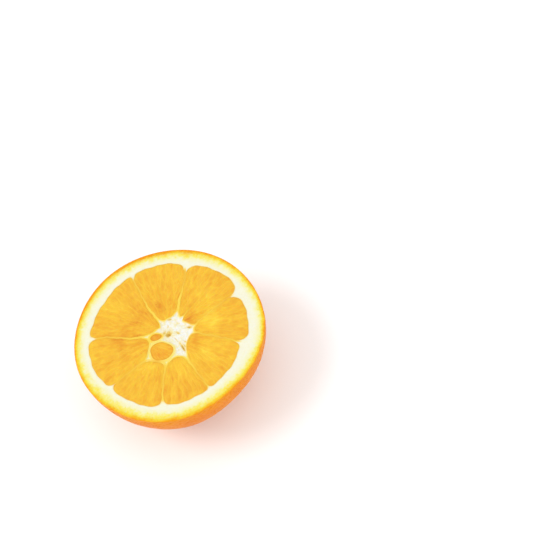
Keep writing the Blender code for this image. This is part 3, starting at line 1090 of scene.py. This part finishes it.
# ---------------------------------------------------------------- materials
class Graph:
    """Small helper that adds and links shader nodes."""

    def __init__(self, name):
        self.mat = bpy.data.materials.new(name)
        self.mat.use_nodes = True
        self.tree = self.mat.node_tree
        self.shader = self.tree.nodes["Principled BSDF"]

    def node(self, kind, **settings):
        n = self.tree.nodes.new(kind)
        for key, value in settings.items():
            if key in n.inputs.keys():
                n.inputs[key].default_value = value
            else:
                setattr(n, key, value)
        return n

    def link(self, a, b):
        self.tree.links.new(a, b)

    def field(self, name):
        return self.node('ShaderNodeAttribute', attribute_name=name).outputs["Fac"]

    def math(self, operation, a, b=None, clamp=False):
        n = self.node('ShaderNodeMath', operation=operation, use_clamp=clamp)
        for slot, value in ((0, a), (1, b)):
            if value is None:
                continue
            if isinstance(value, (int, float)):
                n.inputs[slot].default_value = value
            else:
                self.link(value, n.inputs[slot])
        return n.outputs[0]

    def mix(self, factor, a, b, blend='MIX'):
        n = self.node('ShaderNodeMix', data_type='RGBA', blend_type=blend)
        n.clamp_factor = True
        for slot, value in ((0, factor), (6, a), (7, b)):
            if isinstance(value, (int, float)):
                n.inputs[slot].default_value = value
            elif isinstance(value, tuple):
                n.inputs[slot].default_value = (*value, 1.0)
            else:
                self.link(value, n.inputs[slot])
        return n.outputs[2]

    def ramp(self, value, stops, easing='LINEAR'):
        n = self.node('ShaderNodeValToRGB')
        n.color_ramp.interpolation = easing
        while len(n.color_ramp.elements) < len(stops):
            n.color_ramp.elements.new(0.5)
        for e, (at, colour) in zip(n.color_ramp.elements, stops):
            e.position = at
            e.color = (*colour, 1.0)
        self.link(value, n.inputs[0])
        return n.outputs[0]

    def noise(self, size_mm, detail=2.0, rough=0.5):
        n = self.node('ShaderNodeTexNoise')
        n.inputs["Scale"].default_value = 1000.0 / size_mm
        n.inputs["Detail"].default_value = detail
        n.inputs["Roughness"].default_value = rough
        self.link(self.place(), n.inputs["Vector"])
        return n.outputs[0]

    def voronoi(self, size_mm, smoothness=0.5):
        n = self.node('ShaderNodeTexVoronoi', feature='SMOOTH_F1')
        n.inputs["Scale"].default_value = 1000.0 / size_mm
        n.inputs["Smoothness"].default_value = smoothness
        self.link(self.place(), n.inputs["Vector"])
        return n.outputs["Distance"]

    def place(self):
        if not hasattr(self, "_place"):
            self._place = self.node('ShaderNodeTexCoord').outputs["Object"]
        return self._place

    def bump(self, height, strength, distance):
        n = self.node('ShaderNodeBump')
        n.inputs["Strength"].default_value = strength
        n.inputs["Distance"].default_value = distance
        self.link(height, n.inputs["Height"])
        return n.outputs[0]

    def set(self, **values):
        for key, value in values.items():
            socket = self.shader.inputs[key.replace("_", " ")]
            socket.default_value = value


# colours of the peel where it is cut, by mm from its outside
CUT_STOPS = (
    (0.00, (0.749, 0.279, 0.0070)),
    (0.45, (0.766, 0.414, 0.0190)),
    (1.00, (0.775, 0.530, 0.0310)),
    (1.70, (0.775, 0.622, 0.048)),
    (2.50, (0.771, 0.679, 0.113)),
    (3.30, (0.766, 0.719, 0.287)),
    (4.20, (0.758, 0.736, 0.470)),
    (5.40, (0.758, 0.749, 0.601)),
)


def cut_colour(g):
    """The peel's colours across its cut edge, with a granular border."""
    depth = g.field("layer")
    wob = g.math('MULTIPLY', g.math('SUBTRACT', g.noise(4.0, 2.0), 0.5), 2.2)
    grain = g.math('MULTIPLY', g.math('SUBTRACT', g.noise(1.9, 3.0, 0.62), 0.5), 5.5)
    # the grain is strongest where yellow turns to white
    band = g.math('SUBTRACT', 1.0, g.math('ABSOLUTE', g.math('DIVIDE',
                  g.math('SUBTRACT', depth, 3.2), 3.3)), clamp=True)
    depth = g.math('ADD', depth, g.math('ADD', wob, g.math('MULTIPLY', grain, band)))
    top = CUT_STOPS[-1][0]
    return g.ramp(g.math('DIVIDE', depth, top, clamp=True),
                  tuple((at / top, c) for at, c in CUT_STOPS))


def rind_material():
    g = Graph("orange_peel")
    patches = g.noise(14.0, 3.0)
    skin = g.ramp(patches, ((0.30, (0.749, 0.183, 0.0026)), (0.50, (0.784, 0.222, 0.0035)),
                            (0.72, (0.810, 0.266, 0.0044))))
    # the peel is painted lighter and yellower over its top, towards the cut edge
    upper = g.math('DIVIDE', g.math('SUBTRACT', g.field("height"), 0.84), 0.16, clamp=True)
    skin = g.mix(g.math('MULTIPLY', upper, 0.55), skin, (0.812, 0.325, 0.0050))
    fine = g.noise(0.9, 3.0)
    skin = g.mix(g.math('MULTIPLY', fine, 0.40), skin, (0.810, 0.314, 0.0052))
    # the peel is painted darker in its dimples, by their depth: partly the oil glands' own deeper
    # colour, partly painted shade in the pits
    dimple = g.field("dimple")
    skin = g.mix(g.math('MULTIPLY', g.math('MINIMUM', dimple, 1.0), 0.50), skin,
                 (0.645, 0.131, 0.0017))
    cut = cut_colour(g)
    cut = g.mix(g.math('MULTIPLY', g.field("gland"), 0.50), cut, (0.662, 0.261, 0.0105))
    colour = g.mix(g.field("cut_up"), skin, cut)
    g.link(colour, g.shader.inputs["Base Color"])
    rough = g.math('ADD', 0.31, g.math('MULTIPLY', g.noise(1.6, 2.0), 0.14))
    g.link(rough, g.shader.inputs["Roughness"])
    g.set(Specular_IOR_Level=0.07, Subsurface_Weight=0.12, Subsurface_Scale=0.0008,
          Subsurface_Radius=(1.0, 0.35, 0.08))
    pebble = g.voronoi(1.25, smoothness=0.6)
    micro = g.math('ADD', g.math('MULTIPLY', g.noise(0.5, 2.0), 0.5),
                   g.math('MULTIPLY', pebble, -1.3))
    g.link(g.bump(micro, 0.80, 0.00014), g.shader.inputs["Normal"])
    return g.mat


PULP_STOPS = (
    (0.00, (0.627, 0.226, 0.0250)), (0.25, (0.706, 0.320, 0.0295)), (0.50, (0.753, 0.414, 0.0370)),
    (0.75, (0.784, 0.496, 0.0445)), (1.00, (0.810, 0.592, 0.0620)),
)


def pith_material():
    g = Graph("white_pith")
    ring = cut_colour(g)
    spots = g.noise(1.0, 3.0, 0.6)
    ring = g.mix(g.math('MULTIPLY', g.math('SUBTRACT', spots, 0.42, clamp=True), 1.3),
                 ring, (0.732, 0.688, 0.375))
    gap = g.field("gap")
    # thin tissue beside the pulp is tinted by it, thick tissue is white
    pale_wall = (0.801, 0.570, 0.052)
    tone = g.math('ADD', 0.40, g.math('MULTIPLY', g.noise(2.0, 3.0), 0.30))
    tone = g.math('ADD', tone, g.math('MULTIPLY', g.field("patch"), 0.5))
    faint_wall = g.ramp(tone, PULP_STOPS)
    wall = g.mix(g.field("show"), faint_wall, pale_wall)
    wall = g.mix(g.math('MULTIPLY', g.field("collar"), 0.95), wall, (0.800, 0.662, 0.150))
    thick = g.math('DIVIDE', g.math('SUBTRACT', gap, 0.18), 0.60, clamp=True)
    cloud = g.math('MULTIPLY', g.math('SUBTRACT', g.noise(2.2, 4.0, 0.65), 0.42, clamp=True), 4.5,
                   clamp=True)
    white = g.mix(g.math('MULTIPLY', cloud, 0.90), (0.771, 0.768, 0.725), (0.758, 0.680, 0.340))
    # painted shade: small darker dots over the core's white stand for shade in its spongy pores
    pore_shade = g.math('MULTIPLY', g.math('SUBTRACT', g.noise(0.75, 2.0), 0.60, clamp=True), 5.0,
                   clamp=True)
    white = g.mix(g.math('MULTIPLY', pore_shade, 0.45), white, (0.645, 0.488, 0.192))
    cream = g.ramp(g.math('ADD', gap, g.math('MULTIPLY', g.math('SUBTRACT', g.noise(1.6, 3.0), 0.5),
                                             0.9)),
                   ((0.10, (0.755, 0.445, 0.030)), (0.40, (0.792, 0.600, 0.085)),
                    (0.80, (0.796, 0.680, 0.200)), (1.00, (0.784, 0.723, 0.392))))
    margin = g.math('DIVIDE', g.math('SUBTRACT', 1.25, g.math('ADD', gap, g.math('MULTIPLY',
                    g.math('SUBTRACT', g.noise(1.6, 3.0), 0.5), 1.3))), 0.95, clamp=True)
    white = g.mix(g.math('MULTIPLY', margin, 0.75), white, (0.790, 0.640, 0.150))
    middle = g.mix(g.field("white"), cream, white)
    inner = g.math('ADD', g.field("wall"), g.field("core"), clamp=True)
    inner_body = g.mix(inner, ring, middle)
    body = g.mix(thick, wall, inner_body)
    # only between the segments: the ring itself stays white up to the pulp
    soft = g.mix(g.math('MULTIPLY', g.math('SUBTRACT', 0.40, gap, clamp=True), 1.5), ring,
                 (0.766, 0.610, 0.174))
    colour = g.mix(inner, soft, body)
    stain = g.field("stain")
    blot = g.math('MULTIPLY', stain, g.math('ADD', 0.55, g.noise(0.8, 2.0)), clamp=True)
    tan = g.ramp(g.noise(0.9, 2.0), ((0.35, (0.50, 0.270, 0.026)), (0.65, (0.67, 0.430, 0.060))))
    # a stain is yellow at its border and tan in the middle
    colour = g.mix(g.math('MULTIPLY', blot, 2.2, clamp=True), colour, (0.765, 0.590, 0.175))
    colour = g.mix(g.math('SUBTRACT', g.math('MULTIPLY', blot, 1.55), 0.45, clamp=True),
                   colour, tan)
    g.link(colour, g.shader.inputs["Base Color"])
    g.link(g.math('ADD', 0.55, g.math('MULTIPLY', g.noise(1.0), 0.15)),
           g.shader.inputs["Roughness"])
    g.set(Specular_IOR_Level=0.30, Subsurface_Weight=0.20, Subsurface_Scale=0.0008,
          Subsurface_Radius=(1.0, 0.75, 0.35))
    g.link(g.bump(g.noise(0.4, 3.0, 0.6), 0.35, 0.00010), g.shader.inputs["Normal"])
    return g.mat


def pulp_material():
    g = Graph("juicy_pulp")
    tone = g.math('ADD', g.field("tone"), g.math('MULTIPLY', g.field("patch"), 0.50))
    tone = g.math('ADD', tone, g.math('MULTIPLY', g.math('SUBTRACT', g.noise(1.2, 3.0), 0.5), 0.27))
    colour = g.ramp(tone, PULP_STOPS)
    deep = g.field("deep")
    colour = g.mix(g.math('MULTIPLY', deep, 0.38), colour, (0.715, 0.255, 0.0240))
    # darker line where the pulp meets the pith and its edge dips: painted shade in that dip, made
    # stronger on the small segments, where it also gives their own brownish rim
    gap = g.field("gap")
    rim = g.math('MULTIPLY', g.math('SUBTRACT', 0.60, gap, clamp=True), 1.2)
    rim = g.math('MULTIPLY', rim, g.math('ADD', 0.24, g.math('MULTIPLY', deep, 0.55)))
    colour = g.mix(g.math('MULTIPLY', rim, g.field("keen")), colour, (0.610, 0.253, 0.0105))
    g.link(colour, g.shader.inputs["Base Color"])
    g.link(g.math('ADD', 0.26, g.math('MULTIPLY', g.noise(1.5), 0.20)),
           g.shader.inputs["Roughness"])
    g.set(Specular_IOR_Level=0.10, IOR=1.37, Subsurface_Weight=0.25, Subsurface_Scale=0.0010,
          Subsurface_Radius=(1.0, 0.42, 0.06))
    g.link(g.bump(g.noise(0.55, 3.0), 0.30, 0.00009), g.shader.inputs["Normal"])
    return g.mat


def button_material():
    g = Graph("dry_stem_button")
    colour = g.ramp(g.noise(0.9, 3.0), ((0.3, (0.139, 0.096, 0.030)), (0.7, (0.296, 0.253, 0.096))))
    g.link(colour, g.shader.inputs["Base Color"])
    g.set(Roughness=0.8)
    g.link(g.bump(g.noise(0.4, 3.0), 0.6, 0.0001), g.shader.inputs["Normal"])
    return g.mat


# -------------------------------------------------------------------- pieces
def add(obj, material):
    obj.data.materials.append(material)
    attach(obj, "root")
    return obj


peel, pith_mat, pulp = rind_material(), pith_material(), pulp_material()
rind = add(build_rind(), peel)
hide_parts("orange_half")
pith = add(build_pith(), pith_mat)
for index in range(len(SEGMENTS)):
    f = lambda q, i=index: segment_depth(q, i)
    wall_a, wall_b = WALLS[index], WALLS[(index + 1) % len(WALLS)]
    mid = polar(1.0, wall_a[3]) + polar(1.0, wall_b[3])
    mid /= np.linalg.norm(mid)
    piece = build_pulp("segment_%d" % (index + 1), f, big_loops(f, index),
                       mid * 3.5, 100 + 20 * index, 0.19)
    add(piece, pulp)
for index in range(len(NAVEL)):
    f = lambda q, i=index: navel_depth(q, i)
    x, y, ra, rb, turn = NAVEL[index]
    r = max(ra, rb) + 1.0
    loops = loops_of(f, (x - r, y - r), (x + r, y + r), 0.1)
    focus = (x - 0.9 * ra, y + 1.4 * rb)
    piece = build_pulp("small_segment_%d" % (index + 1), f, loops, focus,
                       300 + 20 * index, 0.15, scale=0.55 if index == 0 else 0.45, drop=4.0)
    add(piece, pulp)
add(build_button(), button_material())

# --------------------------------------------------------------------- stage
def matte(name, colour, rough):
    mat = bpy.data.materials.new(name)
    mat.use_nodes = True
    shader = mat.node_tree.nodes["Principled BSDF"]
    shader.inputs["Base Color"].default_value = (*colour, 1.0)
    shader.inputs["Roughness"].default_value = rough
    shader.inputs["Specular IOR Level"].default_value = 0.2
    return mat


bpy.ops.mesh.primitive_plane_add(size=8.0, location=(0.0, 0.0, 0.0))
floor = bpy.context.object
floor.name = "floor"
floor.data.materials.append(matte("pale_floor", (0.95, 0.95, 0.95), 0.8))

world = bpy.data.worlds.new("studio")
bpy.context.scene.world = world
world.use_nodes = True
world.node_tree.nodes["Background"].inputs[0].default_value = (1.0, 1.0, 1.0, 1.0)
world.node_tree.nodes["Background"].inputs[1].default_value = 1.0


def soft_light(name, place, power, spread):
    """A broad, even light from the direction of place."""
    data = bpy.data.lights.new(name, 'SUN')
    data.energy = power
    data.angle = math.radians(spread)
    obj = bpy.data.objects.new(name, data)
    bpy.context.scene.collection.objects.link(obj)
    obj.rotation_euler = (-Vector(place)).to_track_quat('-Z', 'Y').to_euler()
    return obj


soft_light("key", (-0.60, 0.15, 0.85), 0.95, 26.0)
soft_light("fill", (0.60, -0.60, 0.55), 0.22, 50.0)

# -------------------------------------------------------------------- camera
ELEVATION = 61.0
DISTANCE = 0.9
LENS = 135.0
FACE_PIXEL = (168.33, 333.43)        # where the middle of the cut face appears
UP_ANGLE = 245.0                     # direction of +Z in the picture, degrees


def place_camera():
    focal = LENS * 560.0 / 36.0
    centre = np.array([-mx, -my, FACE]) * MM
    e = math.radians(ELEVATION)
    place = centre + DISTANCE * np.array([0.0, -math.cos(e), math.sin(e)])
    d = (centre - place) / np.linalg.norm(centre - place)
    v0 = np.array([(FACE_PIXEL[0] - 280.0) / focal, -(FACE_PIXEL[1] - 280.0) / focal, -1.0])
    v0 /= np.linalg.norm(v0)

    def basis(axis, up):
        x = np.cross(up, axis)
        x /= np.linalg.norm(x)
        return np.stack([x, np.cross(axis, x), axis], 1)

    def turned(rho):
        c, s = math.cos(rho), math.sin(rho)
        return basis(d, np.array([0, 0, 1.0])) @ np.array([[c, -s, 0], [s, c, 0], [0, 0, 1]]) \
            @ basis(v0, np.array([0, 1.0, 0])).T

    def pixel(rot, p):
        q = rot.T @ (p - place)
        return np.array([280.0 + focal * q[0] / -q[2], 280.0 - focal * q[1] / -q[2]])

    def miss(rho):
        rot = turned(rho)
        step = pixel(rot, centre + np.array([0, 0, 0.001])) - pixel(rot, centre)
        angle = math.degrees(math.atan2(step[1], step[0]))
        return abs((angle - UP_ANGLE + 180.0) % 360.0 - 180.0)

    rho = min(np.linspace(-math.pi, math.pi, 721), key=miss)
    width = math.pi / 360.0
    for _ in range(5):
        rho = min(np.linspace(rho - width, rho + width, 41), key=miss)
        width /= 18.0
    data = bpy.data.cameras.new("camera")
    data.lens = LENS
    data.sensor_width = 36.0
    cam = bpy.data.objects.new("camera", data)
    bpy.context.scene.collection.objects.link(cam)
    rot = turned(rho)
    matrix = Matrix([[*rot[0], place[0]], [*rot[1], place[1]], [*rot[2], place[2]], [0, 0, 0, 1]])
    cam.matrix_world = matrix
    bpy.context.scene.camera = cam
    return cam


place_camera()
bpy.context.scene.view_settings.view_transform = 'Standard'
